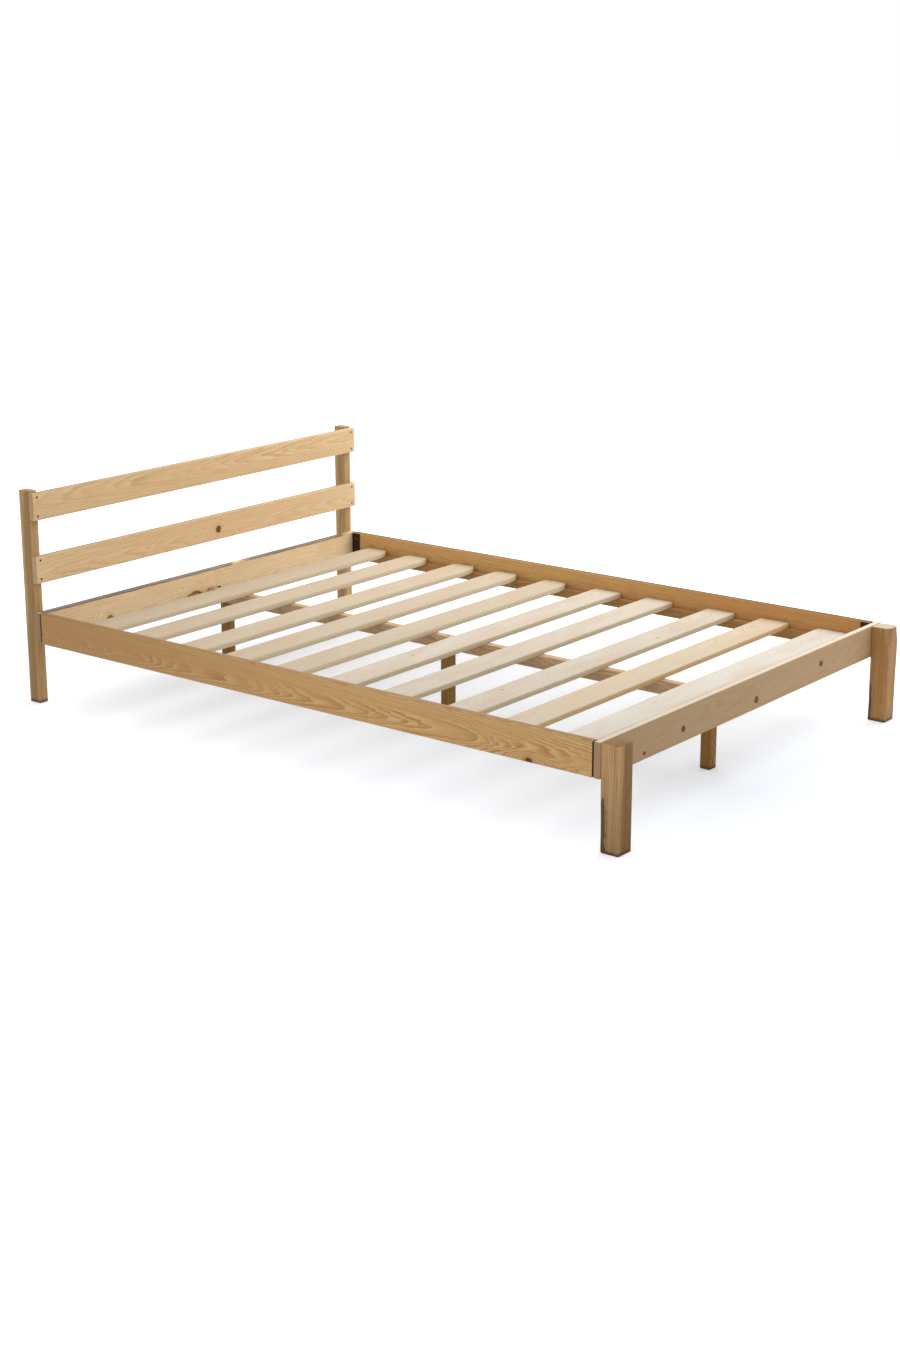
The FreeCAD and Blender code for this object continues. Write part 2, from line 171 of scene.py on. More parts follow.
def pine(name, look):
    material, tree, shader = newMaterial(name)
    coordinates = addNode(tree, "ShaderNodeTexCoord")
    place = addNode(tree, "ShaderNodeSeparateXYZ", {0: coordinates.outputs["Object"]})
    along, across, through = [place.outputs[axis] for axis in look["axes"]]

    # the trunk sways along its length, and the cut runs slowly out of its rings
    pithAcross, pithThrough = look["pithMm"]
    swayPlace = addNode(tree, "ShaderNodeMath", {
        0: along, 1: 1 / (look["swayLengthMm"] * mm), 2: look["seed"] * grain["seedStep"]},
        operation="MULTIPLY_ADD").outputs[0]
    sway = addNode(tree, "ShaderNodeTexNoise", {"W": swayPlace, "Scale": 1.0, "Detail": 2.0},
                   noise_dimensions="1D").outputs["Fac"]
    slope = addNode(tree, "ShaderNodeMath", {0: along, 1: look["slope"], 2: -pithThrough * mm},
                    operation="MULTIPLY_ADD").outputs[0]
    bent = addNode(tree, "ShaderNodeMath", {0: sway, 1: look["swayMm"] * mm, 2: slope},
                   operation="MULTIPLY_ADD").outputs[0]
    deep = addNode(tree, "ShaderNodeMath", {0: through, 1: bent}).outputs[0]
    wide = addNode(tree, "ShaderNodeMath", {0: across, 1: -pithAcross * mm}).outputs[0]
    ringPlace = addNode(tree, "ShaderNodeCombineXYZ", {0: wide, 1: deep}).outputs[0]
    radius = addNode(tree, "ShaderNodeVectorMath", {0: ringPlace}, operation="LENGTH").outputs["Value"]

    # long fibres, slow waves and small zigzags, each stretched along the grain
    stretched = []
    for stretch in (grain["fibreStretch"], grain["waveStretch"], grain["zigzagStretch"]):
        slowAlong = addNode(tree, "ShaderNodeMath", {0: along, 1: stretch, 2: look["seed"]},
                            operation="MULTIPLY_ADD").outputs[0]
        stretched.append(addNode(tree, "ShaderNodeCombineXYZ", {
            0: slowAlong, 1: across, 2: through}).outputs[0])
    fibrePlace, wavePlace, zigzagPlace = stretched
    fibre = addNode(tree, "ShaderNodeTexNoise", {
        "Vector": fibrePlace, "Scale": 1 / (grain["fibreMm"] * mm), "Detail": 3.0,
        "Roughness": 0.6}).outputs["Fac"]
    wave = addNode(tree, "ShaderNodeTexNoise", {
        "Vector": wavePlace, "Scale": 1 / (grain["waveMm"] * mm), "Detail": 2.0}).outputs["Fac"]
    zigzag = addNode(tree, "ShaderNodeTexNoise", {
        "Vector": zigzagPlace, "Scale": 1 / (grain["zigzagMm"] * mm), "Detail": 2.0}).outputs["Fac"]
    for pattern, depthMm in ((wave, grain["waveDepthMm"]), (zigzag, look["featherMm"])):
        radius = addNode(tree, "ShaderNodeMath", {0: pattern, 1: depthMm * mm, 2: radius},
                         operation="MULTIPLY_ADD").outputs[0]

    # a branch pushes the rings outwards, further along the grain than across it
    knotDistances = []
    for knotAlong, knotAcross, knotMm, drawnOut in look["knots"]:
        offAlong = addNode(tree, "ShaderNodeMath", {0: along, 1: -knotAlong}).outputs[0]
        offAcross = addNode(tree, "ShaderNodeMath", {0: across, 1: -knotAcross}).outputs[0]
        distances = []
        for stretch in (drawnOut, knotShape["bulgeStretch"]):
            squeezed = addNode(tree, "ShaderNodeMath", {0: offAlong, 1: stretch},
                               operation="DIVIDE").outputs[0]
            knotPlace = addNode(tree, "ShaderNodeCombineXYZ", {0: squeezed, 1: offAcross}).outputs[0]
            distances.append(addNode(tree, "ShaderNodeVectorMath", {0: knotPlace},
                                     operation="LENGTH").outputs["Value"])
        lift = addNode(tree, "ShaderNodeMapRange", {
            "Value": distances[1], "From Min": 0.0, "From Max": knotShape["bulgeReach"] * knotMm * mm,
            "To Min": knotShape["bulge"] * knotMm * mm, "To Max": 0.0},
            interpolation_type="SMOOTHERSTEP").outputs["Result"]
        radius = addNode(tree, "ShaderNodeMath", {0: radius, 1: lift}).outputs[0]
        knotDistances.append((distances[0], knotMm))

    # rings differ from year to year and darken towards their outer edge
    years = addNode(tree, "ShaderNodeMath", {0: radius, 1: 1 / (look["ringMm"] * mm)},
                    operation="MULTIPLY").outputs[0]
    yearPlace = addNode(tree, "ShaderNodeMath", {0: years, 1: grain["yearStep"], 2: look["seed"]},
                        operation="MULTIPLY_ADD").outputs[0]
    yearChange = addNode(tree, "ShaderNodeTexNoise", {"W": yearPlace, "Scale": 1.0, "Detail": 1.0},
                         noise_dimensions="1D").outputs["Fac"]
    uneven = addNode(tree, "ShaderNodeMath", {0: yearChange, 1: grain["yearChange"], 2: years},
                     operation="MULTIPLY_ADD").outputs[0]
    season = addNode(tree, "ShaderNodeMath", {0: uneven}, operation="FRACT").outputs[0]
    rings = addNode(tree, "ShaderNodeValToRGB", {"Fac": season})
    stops = rings.color_ramp.elements
    for stop in stops:
        stop.color = linearColour(look["spring"] or look["early"])
    stops.new(grain["earlyAt"]).color = linearColour(look["early"])
    stops.new(grain["darkestAt"]).color = linearColour(look["late"])

    # the lines fade in and out in patches, and the tone changes slowly
    tone = addNode(tree, "ShaderNodeTexNoise", {
        "Vector": wavePlace, "Scale": 1 / (look["toneMm"] * mm), "Detail": 2.0}).outputs["Fac"]
    patch = addNode(tree, "ShaderNodeTexNoise", {
        "Vector": zigzagPlace, "Scale": 1 / (grain["patchMm"] * mm), "Detail": 2.0}).outputs["Fac"]
    lineShare = addNode(tree, "ShaderNodeMapRange", {
        "Value": patch, "From Min": grain["patchRange"][0], "From Max": grain["patchRange"][1],
        "To Min": look["lineShare"][0], "To Max": look["lineShare"][1]}).outputs["Result"]
    colour = addNode(tree, "ShaderNodeMix", {
        0: lineShare, 6: linearColour(look["early"]), 7: rings.outputs["Color"]}, data_type="RGBA").outputs[2]
    toneShare = addNode(tree, "ShaderNodeMapRange", {
        "Value": tone, "From Min": grain["toneRange"][0], "From Max": grain["toneRange"][1],
        "To Min": 0.0, "To Max": look["tintShare"]}).outputs["Result"]
    layers = [(toneShare, look["tint"])]
    # one end darker: painted shade on the left side rail and the foot rail, a redder tone of its own on the
    # right side rail, darker towards the floor on the left foot leg
    if look["endToneAndShadeShare"]:
        endToneAndShadePart = addNode(tree, "ShaderNodeMapRange", {
            "Value": along, "From Min": look["endToneAndShadeSpan"][0], "From Max": look["endToneAndShadeSpan"][1],
            "To Min": look["endToneAndShadeShare"], "To Max": 0.0}).outputs["Result"]
        layers.append((endToneAndShadePart, look["endToneAndShade"]))
    if look["blushShare"]:
        rosy = addNode(tree, "ShaderNodeTexNoise", {
            "Vector": zigzagPlace, "Scale": 1 / (look["blushMm"] * mm), "Detail": 1.0}).outputs["Fac"]
        rosyShare = addNode(tree, "ShaderNodeMapRange", {
            "Value": rosy, "From Min": grain["blushRange"][0], "From Max": grain["blushRange"][1],
            "To Min": 0.0, "To Max": look["blushShare"]}).outputs["Result"]
        layers.append((rosyShare, look["blush"]))
    if look["heartMm"]:
        inHeart = addNode(tree, "ShaderNodeMapRange", {
            "Value": radius, "From Min": grain["heartFade"] * look["heartMm"] * mm,
            "From Max": look["heartMm"] * mm, "To Min": look["heartShare"], "To Max": 0.0},
            interpolation_type="SMOOTHSTEP").outputs["Result"]
        layers.append((inHeart, look["heart"]))
    for share, layerColour in layers:
        colour = addNode(tree, "ShaderNodeMix", {0: share, 6: colour, 7: linearColour(layerColour)},
                         data_type="RGBA").outputs[2]

    # fibres and resin flecks
    fleck = addNode(tree, "ShaderNodeTexNoise", {
        "Vector": fibrePlace, "Scale": 1 / (grain["fleckMm"] * mm), "Detail": 1.0}).outputs["Fac"]
    fleckDark = addNode(tree, "ShaderNodeMapRange", {
        "Value": fleck, "From Min": grain["fleckRange"][0], "From Max": grain["fleckRange"][1],
        "To Min": 0.0, "To Max": look["fleckShare"]}).outputs["Result"]
    light = addNode(tree, "ShaderNodeMapRange", {
        "Value": fibre, "From Min": grain["fibreRange"][0], "From Max": grain["fibreRange"][1],
        "To Min": 1 - look["fibreShare"], "To Max": 1 + look["fibreShare"]}).outputs["Result"]
    light = addNode(tree, "ShaderNodeMath", {0: light, 1: fleckDark}, operation="SUBTRACT").outputs[0]
    colour = addNode(tree, "ShaderNodeVectorMath", {0: colour, "Scale": light}, operation="SCALE").outputs[0]

    # knots: a brown heart in a broken dark rim, with a soft amber edge
    for distance, knotMm in knotDistances:
        knotSize = knotMm * mm
        halo = addNode(tree, "ShaderNodeMapRange", {
            "Value": distance, "From Min": knotShape["halo"][0] * knotSize,
            "From Max": knotShape["halo"][1] * knotSize, "To Min": knotShape["haloShare"], "To Max": 0.0},
            interpolation_type="SMOOTHSTEP").outputs["Result"]
        colour = addNode(tree, "ShaderNodeMix", {0: halo, 6: colour, 7: linearColour(look["late"])},
                         data_type="RGBA").outputs[2]
        worn = addNode(tree, "ShaderNodeTexNoise", {
            "Vector": zigzagPlace, "Scale": 1 / (knotShape["ragged"] * knotSize),
            "Detail": 1.5}).outputs["Fac"]
        rough = addNode(tree, "ShaderNodeMath", {0: worn, 1: knotShape["ragged"] * knotSize, 2: distance},
                        operation="MULTIPLY_ADD").outputs[0]
        reach = addNode(tree, "ShaderNodeMath", {0: rough, 1: knotShape["raggedMiddle"] * knotSize},
                        operation="SUBTRACT").outputs[0]
        inKnot = addNode(tree, "ShaderNodeMapRange", {
            "Value": reach, "From Min": knotShape["outline"][0] * knotSize,
            "From Max": knotShape["outline"][1] * knotSize, "To Min": knotShape["outlineShare"],
            "To Max": 0.0}, interpolation_type="SMOOTHSTEP").outputs["Result"]
        rim = addNode(tree, "ShaderNodeMapRange", {
            "Value": reach, "From Min": knotShape["rim"][0] * knotSize,
            "From Max": knotShape["rim"][1] * knotSize}, interpolation_type="SMOOTHSTEP").outputs["Result"]
        broken = addNode(tree, "ShaderNodeMapRange", {
            "Value": zigzag, "From Min": knotShape["rimRange"][0], "From Max": knotShape["rimRange"][1],
            "To Min": knotShape["rimLeast"]}).outputs["Result"]
        rim = addNode(tree, "ShaderNodeMath", {0: rim, 1: broken}, operation="MULTIPLY").outputs[0]
        knotColour = addNode(tree, "ShaderNodeMix", {
            0: rim, 6: linearColour(look["knotHeart"]), 7: linearColour(look["knotRim"])},
            data_type="RGBA").outputs[2]
        colour = addNode(tree, "ShaderNodeMix", {0: inKnot, 6: colour, 7: knotColour},
                         data_type="RGBA").outputs[2]

    # sawn ends take the oil in their own way; the narrow edges get painted shade or a painted highlight for
    # how the light falls on them, on the bed slats partly their own tan, on the left side rail just darker
    facing = addNode(tree, "ShaderNodeSeparateXYZ", {0: coordinates.outputs["Normal"]})
    for axis, cutColour, cutShare in ((look["axes"][1], look["edge"], look["edgeToneLightShadeShare"]),
                                      (look["axes"][0], look["endGrain"], look["endShare"])):
        turned = addNode(tree, "ShaderNodeMath", {0: facing.outputs[axis]}, operation="ABSOLUTE").outputs[0]
        onCut = addNode(tree, "ShaderNodeMapRange", {
            "Value": turned, "From Min": grain["cutTurn"][0], "From Max": grain["cutTurn"][1],
            "To Min": 0.0, "To Max": cutShare}).outputs["Result"]
        colour = addNode(tree, "ShaderNodeMix", {0: onCut, 6: colour, 7: linearColour(cutColour)},
                         data_type="RGBA").outputs[2]

    # darker for a few millimetres at the end that stands on the floor
    if look["floorEndMm"]:
        lowEnd = addNode(tree, "ShaderNodeMath", {0: zigzag, 1: -look["floorEndMm"] * mm, 2: along},
                         operation="MULTIPLY_ADD").outputs[0]
        nearFloorEnd = addNode(tree, "ShaderNodeMapRange", {
            "Value": lowEnd, "From Min": 0.0, "From Max": grain["floorEndFade"] * look["floorEndMm"] * mm,
            "To Min": look["floorEndShare"], "To Max": 0.0}, interpolation_type="SMOOTHSTEP").outputs["Result"]
        colour = addNode(tree, "ShaderNodeMix", {0: nearFloorEnd, 6: colour, 7: linearColour(look["floorEndTone"])},
                         data_type="RGBA").outputs[2]

    # waney edge: bark skin where the piece's own wane attribute says that the trunk's surface was left
    if look["waneColour"]:
        wane = addNode(tree, "ShaderNodeAttribute", attribute_name="wane").outputs["Fac"]
        ragged = addNode(tree, "ShaderNodeMath", {0: zigzag, 1: barkSkin["ragged"], 2: wane},
                         operation="MULTIPLY_ADD").outputs[0]
        onBark = addNode(tree, "ShaderNodeMapRange", {
            "Value": wane, "From Max": barkSkin["fullAt"], "To Max": barkSkin["share"]}).outputs["Result"]
        waneShare = addNode(tree, "ShaderNodeMapRange", {
            "Value": ragged, "From Min": barkSkin["border"][0], "From Max": barkSkin["border"][1],
            "To Min": 0.0, "To Max": onBark}).outputs["Result"]
        bark = linearColour(look["waneColour"])[:3]
        for pattern, usedRange, shades in ((patch, grain["patchRange"], barkSkin["patches"]),
                                           (fibre, grain["fibreRange"], barkSkin["streaks"])):
            shade = addNode(tree, "ShaderNodeMapRange", {
                "Value": pattern, "From Min": usedRange[0], "From Max": usedRange[1],
                "To Min": shades[0], "To Max": shades[1]}).outputs["Result"]
            bark = addNode(tree, "ShaderNodeVectorMath", {0: bark, "Scale": shade},
                           operation="SCALE").outputs[0]
        colour = addNode(tree, "ShaderNodeMix", {0: waneShare, 6: colour, 7: bark},
                         data_type="RGBA").outputs[2]

    roughness = addNode(tree, "ShaderNodeMapRange", {
        "Value": fibre, "From Min": grain["fibreRange"][0], "From Max": grain["fibreRange"][1],
        "To Min": look["roughness"] - grain["roughnessChange"],
        "To Max": look["roughness"] + grain["roughnessChange"]}).outputs["Result"]
    bump = addNode(tree, "ShaderNodeBump", {
        "Height": fibre, "Strength": grain["bumpStrength"],
        "Distance": grain["bumpMm"] * mm}).outputs["Normal"]
    tree.links.new(colour, shader.inputs["Base Color"])
    tree.links.new(roughness, shader.inputs["Roughness"])
    tree.links.new(bump, shader.inputs["Normal"])
    shader.inputs["Specular IOR Level"].default_value = look["gloss"]
    return material


# Black powder coat on folded steel: a fine orange-peel skin with a soft sheen
powderCoat = {"colour": "#2a1a0c", "shades": (0.75, 1.25), "roughness": 0.6, "gloss": 0.25, "grainMm": 1.2,
              "bumpStrength": 0.3, "bumpMm": 0.1, "cornerMm": 0.3}


def powderCoatMaterial(name):
    material, tree, shader = newMaterial(name)
    coordinates = addNode(tree, "ShaderNodeTexCoord").outputs["Object"]
    skin = addNode(tree, "ShaderNodeTexNoise", {
        "Vector": coordinates, "Scale": 1 / (powderCoat["grainMm"] * mm), "Detail": 2.0}).outputs["Fac"]
    shade = addNode(tree, "ShaderNodeMapRange", {
        "Value": skin, "To Min": powderCoat["shades"][0],
        "To Max": powderCoat["shades"][1]}).outputs["Result"]
    base = addNode(tree, "ShaderNodeVectorMath", {
        0: linearColour(powderCoat["colour"])[:3], "Scale": shade}, operation="SCALE").outputs[0]
    bump = addNode(tree, "ShaderNodeBump", {
        "Height": skin, "Strength": powderCoat["bumpStrength"],
        "Distance": powderCoat["bumpMm"] * mm}).outputs["Normal"]
    tree.links.new(base, shader.inputs["Base Color"])
    tree.links.new(bump, shader.inputs["Normal"])
    shader.inputs["Roughness"].default_value = powderCoat["roughness"]
    shader.inputs["Specular IOR Level"].default_value = powderCoat["gloss"]
    return material


# Burnished screw steel: dark, brushed by the driver
screwSteel = {"colour": "#6f5c48", "roughness": 0.42, "roughnessChange": 0.12, "grainMm": 0.8}


def screwSteelMaterial(name):
    material, tree, shader = newMaterial(name)
    coordinates = addNode(tree, "ShaderNodeTexCoord").outputs["Object"]
    brushed = addNode(tree, "ShaderNodeTexNoise", {
        "Vector": coordinates, "Scale": 1 / (screwSteel["grainMm"] * mm), "Detail": 2.0}).outputs["Fac"]
    rough = addNode(tree, "ShaderNodeMapRange", {
        "Value": brushed, "To Min": screwSteel["roughness"] - screwSteel["roughnessChange"],
        "To Max": screwSteel["roughness"] + screwSteel["roughnessChange"]}).outputs["Result"]
    tree.links.new(rough, shader.inputs["Roughness"])
    shader.inputs["Base Color"].default_value = linearColour(screwSteel["colour"])
    shader.inputs["Metallic"].default_value = 1.0
    return material


def makeActive(piece):
    bpy.ops.object.select_all(action="DESELECT")
    bpy.context.view_layer.objects.active = piece
    piece.select_set(True)


# selects the points of the active piece that pass a test on their place, and leaves edit mode open
def selectPoints(piece, wanted):
    bpy.ops.object.mode_set(mode="EDIT")
    bpy.ops.mesh.select_mode(type="VERT")
    bpy.ops.mesh.select_all(action="DESELECT")
    bpy.ops.object.mode_set(mode="OBJECT")
    for point in piece.data.vertices:
        point.select = wanted(point.co)
    bpy.ops.object.mode_set(mode="EDIT")


# A piece of its own mesh: the CAD shape, with its sawn corners worn round. Short edges, as round the
# screw holes, stay as they are.
rounding = {"mergeMm": 0.01, "flatAngle": 1, "sharpAngle": 40, "shortestEdgeMm": 2.7, "segments": 2,
            "smoothAngle": 35}


def roundedCopy(nodeName, material, cornerMm, shape=None):
    piece = bpy.data.objects.new(nodeName + "_rounded", nodes[nodeName].data.copy())
    bpy.context.collection.objects.link(piece)
    piece.data.materials.clear()
    piece.data.materials.append(material)
    makeActive(piece)
    bpy.ops.mesh.customdata_custom_splitnormals_clear()
    bpy.ops.object.mode_set(mode="EDIT")
    bpy.ops.mesh.select_mode(type="EDGE")
    bpy.ops.mesh.select_all(action="SELECT")
    bpy.ops.mesh.remove_doubles(threshold=rounding["mergeMm"] * mm)
    bpy.ops.mesh.dissolve_limited(angle_limit=math.radians(rounding["flatAngle"]))
    if shape:
        shape(piece)
        bpy.ops.object.mode_set(mode="EDIT")
        bpy.ops.mesh.select_mode(type="EDGE")
    bpy.ops.mesh.select_all(action="DESELECT")
    bpy.ops.mesh.edges_select_sharp(sharpness=math.radians(rounding["sharpAngle"]))
    bpy.ops.object.mode_set(mode="OBJECT")
    points = piece.data.vertices
    for edge in piece.data.edges:
        start, end = [points[index].co for index in edge.vertices]
        if (end - start).length < rounding["shortestEdgeMm"] * mm:
            edge.select = False
    bpy.ops.object.mode_set(mode="EDIT")
    bpy.ops.mesh.bevel(offset=cornerMm * mm, segments=rounding["segments"], affect="EDGES")
    bpy.ops.object.mode_set(mode="OBJECT")
    bpy.ops.object.shade_smooth_by_angle(angle=math.radians(rounding["smoothAngle"]))
    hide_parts(nodeName)
    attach(piece, "root")
    return piece


def board(nodeName, changes, shape=None):
    look = {**pineBase, **changes}
    return roundedCopy(nodeName, pine("oiledPine_" + nodeName, look), look["cornerMm"], shape)


# Waney corner: the trunk's own surface, left where the plank was cut near the bark. The piece is cut into
# short lengths, the corner is pushed in at each cut, and the wane attribute keeps how far. Dips are their
# place and reach along the piece in metres and their depth in millimetres.
def waneCorner(piece, axis, setting, limits, inCorner, inBark, push, dips):
    makeActive(piece)
    step = setting["stepMm"] * mm
    low = min(point.co[axis] for point in piece.data.vertices)
    high = max(point.co[axis] for point in piece.data.vertices)
    stations = [low + step * count for count in range(1, int((high - low) / step))]
    bpy.ops.object.mode_set(mode="EDIT")
    for cutAxis, cutPlace in [*limits, *((axis, station) for station in stations)]:
        normal = [float(number == cutAxis) for number in range(3)]
        bpy.ops.mesh.select_all(action="SELECT")
        bpy.ops.mesh.bisect(plane_co=[cutPlace * share for share in normal], plane_no=normal)
    bpy.ops.object.mode_set(mode="OBJECT")

    def depthAt(place):
        return sum(depth * max(0.0, 1 - ((place - middle) / reach) ** 2) ** 2
                   for middle, reach, depth in dips)

    def levelOf(place):
        return round(place[axis] / mm, 1)

    if "wane" not in piece.data.attributes:
        piece.data.attributes.new("wane", "FLOAT", "POINT")
    for point, value in zip(piece.data.vertices, piece.data.attributes["wane"].data):
        if inBark(point.co):
            value.value = max(value.value, min(1.0, depthAt(point.co[axis]) / setting["fullMm"]))
    for level in sorted({levelOf(point.co) for point in piece.data.vertices if inCorner(point.co)}):
        depth = depthAt(level * mm) * mm
        selectPoints(piece, lambda place: levelOf(place) == level and inCorner(place))
        bpy.ops.transform.translate(value=[depth * share for share in push])
        bpy.ops.object.mode_set(mode="OBJECT")
    bpy.ops.object.shade_smooth_by_angle(angle=math.radians(rounding["smoothAngle"]))


# Side rails and ledgers: amber boards, cut near the bark, so that long arches run down their faces
# the right rail's top and bottom faces are painted darker as shade, and it turns redder towards the foot end
# in its own tone; the left rail is painted darker towards the head end as shade, and its top and bottom faces
# are darker
leftRail = {"spring": "#f3cc91", "early": "#daab6f", "late": "#ac753c", "tint": "#ce9d61", "edge": "#8a6a40",
            "edgeToneLightShadeShare": 0.75, "pithMm": (222, -664), "slope": 0.035, "swayMm": 9, "swayLengthMm": 420,
            "ringMm": 2.5, "featherMm": 2.0, "lineShare": (0.25, 0.85), "endToneAndShadeShare": 0.6,
            "endToneAndShadeSpan": (1.0, -0.1), "knots": ((-0.8015, 0.1915, 10.5, 1.1),), "seed": 2.3}
rightRail = {"early": "#ddb06f", "late": "#b8884b", "tint": "#d1a86f", "edge": "#6a5236", "edgeToneLightShadeShare": 0.85,
             "pithMm": (245, 790), "slope": 0.03, "lineShare": (0.2, 0.7), "endToneAndShade": "#cc8c52",
             "endToneAndShadeShare": 0.5, "endToneAndShadeSpan": (-0.5, 0.2), "gloss": 0.1, "seed": 4.1}
ledgers = {"early": "#b78a52", "late": "#87592b", "tint": "#a57643", "slope": 0.09, "lineShare": (0.4, 1.0)}
board("side_rail_left", leftRail)
board("side_rail_right", rightRail)
board("slat_ledger_left", {**ledgers, "pithMm": (180, -610), "seed": 5.2})
board("slat_ledger_right", {**ledgers, "pithMm": (180, 610), "seed": 6.2})

# Head and foot rails: paler boards with knots; the head rail keeps bark along its top
crossRails = {"axes": "XZY", "slope": 0.03, "swayMm": 10, "swayLengthMm": 420}
headRail = {**crossRails, "early": "#f0d2a6", "late": "#dfb884", "tint": "#ecc99b", "pithMm": (200, 1130),
            "knots": ((-0.443, 0.212, 11, 1.1), (-0.068, 0.212, 14, 2.6), (-0.252, 0.203, 4, 3.0)),
            "knotHeart": "#a5733c", "knotRim": "#5c3b1b", "endGrain": "#8f6a40", "endShare": 0.85,
            "waneColour": "#6c5f50", "seed": 1.7}
headRailWane = {"stepMm": 22, "fullMm": 1.2, "push": (0.0, 0.2, -1.0),
                "barkEnds": 0.2785, "cornerAbove": 0.2815,   # heights
                "cornerBefore": 1.020,                       # place along Y
                "dips": ((-0.62, 0.16, 1.3), (-0.40, 0.20, 1.8), (-0.33, 0.05, 2.6), (-0.08, 0.24, 2.4),
                         (0.05, 0.07, 2.6), (0.34, 0.24, 2.4), (0.56, 0.14, 3.0))}
# the foot rail is painted darker towards its left end as shade, and its top and bottom faces paler as a
# painted highlight
footRail = {**crossRails, "early": "#c7a57a", "late": "#b58f60", "tint": "#bb976f", "pithMm": (250, -1150),
            "endToneAndShade": "#a48763", "endToneAndShadeShare": 0.5, "endToneAndShadeSpan": (-0.7, 0.5), "lineShare": (0.15, 0.75),
            "knots": ((-0.349, 0.226, 9, 1.1), (0.017, 0.217, 9, 1.1), (0.371, 0.239, 9, 1.1),
                      (-0.529, 0.207, 5, 1.3)),
            "knotHeart": "#5d3a18", "knotRim": "#3c220c", "endGrain": "#b28c64", "endShare": 0.75,
            "edge": "#f0e2cc", "edgeToneLightShadeShare": 0.75, "seed": 3.9}
headRailPiece = board("head_rail", headRail)


def onHeadRailTop(place):
    return place.z > headRailWane["cornerAbove"]


def onHeadRailCorner(place):
    return onHeadRailTop(place) and place.y < headRailWane["cornerBefore"]


waneCorner(headRailPiece, 0, headRailWane, ((2, headRailWane["barkEnds"]),), onHeadRailCorner, onHeadRailTop,
           headRailWane["push"], headRailWane["dips"])
board("foot_rail", footRail)

# Headboard slats: pale boards with long, nearly straight lines
# their top and bottom faces are painted darker as shade
headboardSlats = {"axes": "XZY", "spring": "#f3d6aa", "slope": 0.022, "swayMm": 8, "swayLengthMm": 500,
                  "lineShare": (0.25, 0.9), "edge": "#b0956a", "edgeToneLightShadeShare": 0.85}
upperSlat = {**headboardSlats, "early": "#e9c798", "late": "#d3a872", "tint": "#e1ba87",
             "pithMm": (620, 1110), "seed": 2.9}
lowerSlat = {**headboardSlats, "early": "#eccb9e", "late": "#d6ad79", "tint": "#e5bf8e",
             "pithMm": (400, 1100), "knots": ((0.047, 0.409, 12, 1.1),), "seed": 7.7}
board("headboard_slat_upper", upperSlat)
board("headboard_slat_lower", lowerSlat)

# Posts and legs: squared timber with straight streaks, cut near the trunk's dark heart
uprights = {"axes": "ZXY", "tintShare": 0.8, "toneMm": 14, "slope": 0.02, "fibreShare": 0.18, "floorEndMm": 10}
posts = {**uprights, "cornerMm": 1.2, "early": "#d6af7a", "late": "#987446", "tint": "#a78150"}
leftPost = {**posts, "pithMm": (-738, 1064), "heartMm": 28, "heartShare": 0.5, "seed": 1.2}
rightPost = {**posts, "pithMm": (681, 1064), "heartMm": 29, "heartShare": 0.35, "seed": 2.2}
footLegs = {**uprights, "cornerMm": 1.2, "late": "#8d6636", "waneColour": "#5f462b"}
# the left leg is darker towards the floor
leftLeg = {**footLegs, "early": "#e2b886", "tint": "#a98056", "endGrain": "#80612f", "endShare": 0.8,
           "pithMm": (-690, -1080), "heartMm": 40, "endToneAndShade": "#80643f", "endToneAndShadeShare": 0.5,
           "endToneAndShadeSpan": (0.0, 0.22), "gloss": 0.04, "seed": 3.2}
rightLeg = {**footLegs, "early": "#c9945a", "tint": "#9b7444", "endGrain": "#d2c2ae", "endShare": 0.82,
            "pithMm": (740, -1000), "heartMm": 30, "seed": 4.2}
board("head_post_left", leftPost)
board("head_post_right", rightPost)
leftLegPiece = board("foot_leg_left", leftLeg)
rightLegPiece = board("foot_leg_right", rightLeg)

# corners of the legs that are worn or were near the bark: which corner, how it is pushed in, how far the
# bark reaches along X and Y in millimetres, and its dips; worn corners without bark come first
legWane = {"stepMm": 14, "fullMm": 1.0, "cornerMm": 6.5, "fadeMm": 14, "slackMm": 0.2}
legCorners = (
    (rightLegPiece, (-1, -1), (0.7, 0.7, 0.0), (0, 0), ((0.287, 0.06, 6.5),)),
    (rightLegPiece, (1, 1), (-0.7, -0.7, 0.0), (0, 0), ((0.287, 0.06, 7.0),)),
    (rightLegPiece, (1, -1), (-1.0, 0.7, 0.0), (0, 0), ((0.285, 0.05, 4.0),)),
    (rightLegPiece, (1, -1), (-1.0, 0.7, 0.0), (6.5, 6.5), ((0.09, 0.10, 2.2), (0.02, 0.05, 1.0))),
    (rightLegPiece, (-1, 1), (0.6, -0.6, 0.0), (6.5, 9.0), ((0.05, 0.09, 1.7),)),
    (leftLegPiece, (-1, 1), (0.6, -0.6, 0.0), (6.5, 9.0), ((0.075, 0.09, 1.8), (0.0, 0.07, 2.0))),
)
for leg, sides, push, barkMm, dips in legCorners:
    low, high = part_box(leg.name.removesuffix("_rounded"))
    corner = [high[axis] if sides[axis] > 0 else low[axis] for axis in (0, 1)]
    limits = [(axis, corner[axis] - sides[axis] * (barkMm[axis] + more) * mm)
              for axis in (0, 1) for more in (0, legWane["fadeMm"]) if barkMm[axis] + more]

    def inLegCorner(place):
        return max((corner[axis] - place[axis]) * sides[axis] for axis in (0, 1)) < legWane["cornerMm"] * mm

    def inLegBark(place):
        return all((corner[axis] - place[axis]) * sides[axis] < (barkMm[axis] + legWane["slackMm"]) * mm
                   for axis in (0, 1))

    waneCorner(leg, 2, legWane, limits, inLegCorner, inLegBark, push, dips)

